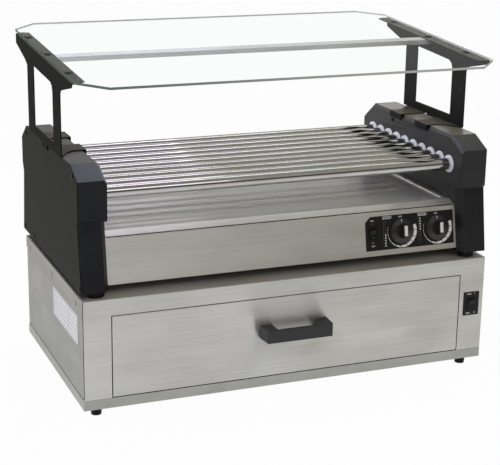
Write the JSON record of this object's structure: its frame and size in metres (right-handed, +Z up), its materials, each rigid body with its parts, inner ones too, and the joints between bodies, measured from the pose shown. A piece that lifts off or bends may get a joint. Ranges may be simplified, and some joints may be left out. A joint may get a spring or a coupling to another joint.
{
  "type": "hot dog roller grill",
  "caption": "Roller grill for hot dogs with a flat glass guard, standing on a heated bun cabinet with a pull-out drawer.",
  "frame": {"origin": "middle of the bounding box in plan, at the level of the cabinet feet's undersides", "axes": "+X to the right as seen by the user, -Y towards the user (drawer and controls), +Z up"},
  "size_m": [0.9056, 0.6154, 0.7108],
  "materials": {
    "stainless_brushed": "brushed",
    "zinc_steel": "satin",
    "screw_steel": "polished",
    "roller_chrome": "polished",
    "heater_sheath": "satin",
    "black_coat": "fine textured",
    "screw_black": "satin",
    "motor_grey": "satin",
    "black_plastic": "satin",
    "overlay_black": "satin",
    "white_plastic": "satin",
    "label_white": "matte",
    "black_rubber": "matte",
    "clear_glass": "clear"
  },
  "bodies": {
    "machine": {"bearing_plate_left": "zinc_steel", "bearing_plate_right": "zinc_steel", "cabinet_bottom_tray": "stainless_brushed", "cabinet_feet": "black_rubber", "cabinet_front_frame": "stainless_brushed", "cabinet_heater": "heater_sheath", "cabinet_rear_panel": "stainless_brushed", "cabinet_screws": "screw_steel", "cabinet_side_left": "stainless_brushed", "cabinet_side_right": "stainless_brushed", "cabinet_switch_housing": "black_plastic", "cabinet_switch_plate": "black_plastic", "cabinet_thermostat": "white_plastic", "cabinet_top_cover": "stainless_brushed", "cap_left": "black_coat", "cap_right": "black_coat", "control_overlay": "overlay_black", "cord_glands": "black_plastic", "data_plate": "label_white", "drawer_fixed_runners": "zinc_steel", "drawer_liners": "stainless_brushed", "drive_chain": "zinc_steel", "gear_motor": "motor_grey", "grill_base_pan": "stainless_brushed", "grill_feet": "black_rubber", "grill_front_panel": "stainless_brushed", "guard_bracket_left": "black_coat", "guard_bracket_right": "black_coat", "guard_bumpers": "black_rubber", "guard_centre_bar": "stainless_brushed", "guard_glass": "clear_glass", "guard_screws": "screw_black", "heat_controls": "black_plastic", "heater_strips": "zinc_steel", "power_switch_housing": "black_plastic", "roller_bearings": "white_plastic", "roller_heaters": "heater_sheath", "side_panel_left": "black_coat", "side_panel_right": "black_coat", "side_panel_screws": "screw_black"},
    "drawer": {"drawer_front": "stainless_brushed", "drawer_inner_skin": "stainless_brushed", "drawer_box": "stainless_brushed", "drawer_handle": "black_plastic", "handle_screws": "screw_steel", "drawer_moving_runners": "zinc_steel"},
    "drip_tray": {"drip_tray": "stainless_brushed"},
    "drive_sprocket": {"drive_sprocket": "zinc_steel"},
    "front_heat_knob": {"front_heat_knob": "black_plastic"},
    "rear_heat_knob": {"rear_heat_knob": "black_plastic"},
    "power_rocker": {"power_rocker": "black_plastic"},
    "cabinet_rocker": {"cabinet_rocker": "black_plastic"},
    "roller_01": {"roller_01": "roller_chrome"},
    "roller_02": {"roller_02": "roller_chrome"},
    "roller_03": {"roller_03": "roller_chrome"},
    "roller_04": {"roller_04": "roller_chrome"},
    "roller_05": {"roller_05": "roller_chrome"},
    "roller_06": {"roller_06": "roller_chrome"},
    "roller_07": {"roller_07": "roller_chrome"},
    "roller_08": {"roller_08": "roller_chrome"},
    "roller_09": {"roller_09": "roller_chrome"},
    "roller_10": {"roller_10": "roller_chrome"}
  },
  "joints": [
    {"name": "drawer_slide", "type": "slide", "parent": "machine", "child": "drawer", "axis": [0, -1, 0], "range_m": [0, 0.32]},
    {"name": "drip_tray_slide", "type": "slide", "parent": "machine", "child": "drip_tray", "axis": [0, -1, 0], "range_m": [0, 0.3]},
    {"name": "roller_01_spin", "type": "hinge", "parent": "machine", "child": "roller_01", "pos_m": [0, -0.19619, 0.446], "axis": [1, 0, 0], "continuous": true},
    {"name": "roller_02_spin", "type": "hinge", "parent": "machine", "child": "roller_02", "pos_m": [0, -0.15559, 0.446], "axis": [1, 0, 0], "continuous": true},
    {"name": "roller_03_spin", "type": "hinge", "parent": "machine", "child": "roller_03", "pos_m": [0, -0.11499, 0.446], "axis": [1, 0, 0], "continuous": true},
    {"name": "roller_04_spin", "type": "hinge", "parent": "machine", "child": "roller_04", "pos_m": [0, -0.07439, 0.446], "axis": [1, 0, 0], "continuous": true},
    {"name": "roller_05_spin", "type": "hinge", "parent": "machine", "child": "roller_05", "pos_m": [0, -0.03379, 0.446], "axis": [1, 0, 0], "continuous": true},
    {"name": "roller_06_spin", "type": "hinge", "parent": "machine", "child": "roller_06", "pos_m": [0, 0.00681, 0.446], "axis": [1, 0, 0], "continuous": true},
    {"name": "roller_07_spin", "type": "hinge", "parent": "machine", "child": "roller_07", "pos_m": [0, 0.04741, 0.446], "axis": [1, 0, 0], "continuous": true},
    {"name": "roller_08_spin", "type": "hinge", "parent": "machine", "child": "roller_08", "pos_m": [0, 0.08801, 0.446], "axis": [1, 0, 0], "continuous": true},
    {"name": "roller_09_spin", "type": "hinge", "parent": "machine", "child": "roller_09", "pos_m": [0, 0.12861, 0.446], "axis": [1, 0, 0], "continuous": true},
    {"name": "roller_10_spin", "type": "hinge", "parent": "machine", "child": "roller_10", "pos_m": [0, 0.16921, 0.446], "axis": [1, 0, 0], "continuous": true},
    {"name": "drive_spin", "type": "hinge", "parent": "machine", "child": "drive_sprocket", "pos_m": [0, -0.01349, 0.33], "axis": [1, 0, 0], "continuous": true},
    {"name": "front_heat_knob_turn", "type": "hinge", "parent": "machine", "child": "front_heat_knob", "pos_m": [0.2615, -0.23612, 0.31734], "axis": [0, 0.9822, -0.1881], "range_deg": [0, 285]},
    {"name": "rear_heat_knob_turn", "type": "hinge", "parent": "machine", "child": "rear_heat_knob", "pos_m": [0.347, -0.23612, 0.31734], "axis": [0, 0.9822, -0.1881], "range_deg": [0, 285]},
    {"name": "power_rocker_tilt", "type": "hinge", "parent": "machine", "child": "power_rocker", "pos_m": [0.192, -0.2359, 0.31638], "axis": [-1, 0, 0], "range_deg": [0, 16]},
    {"name": "cabinet_rocker_tilt", "type": "hinge", "parent": "machine", "child": "cabinet_rocker", "pos_m": [0.4215, -0.26969, 0.1465], "axis": [-1, 0, 0], "range_deg": [0, 16]}
  ],
  "couplings": [
    {"joint": "roller_02_spin", "follows": "roller_01_spin", "ratio": 1},
    {"joint": "roller_03_spin", "follows": "roller_01_spin", "ratio": 1},
    {"joint": "roller_04_spin", "follows": "roller_01_spin", "ratio": 1},
    {"joint": "roller_05_spin", "follows": "roller_01_spin", "ratio": 1},
    {"joint": "roller_06_spin", "follows": "roller_01_spin", "ratio": 1},
    {"joint": "roller_07_spin", "follows": "roller_01_spin", "ratio": 1},
    {"joint": "roller_08_spin", "follows": "roller_01_spin", "ratio": 1},
    {"joint": "roller_09_spin", "follows": "roller_01_spin", "ratio": 1},
    {"joint": "roller_10_spin", "follows": "roller_01_spin", "ratio": 1},
    {"joint": "drive_spin", "follows": "roller_01_spin", "ratio": 1}
  ]
}
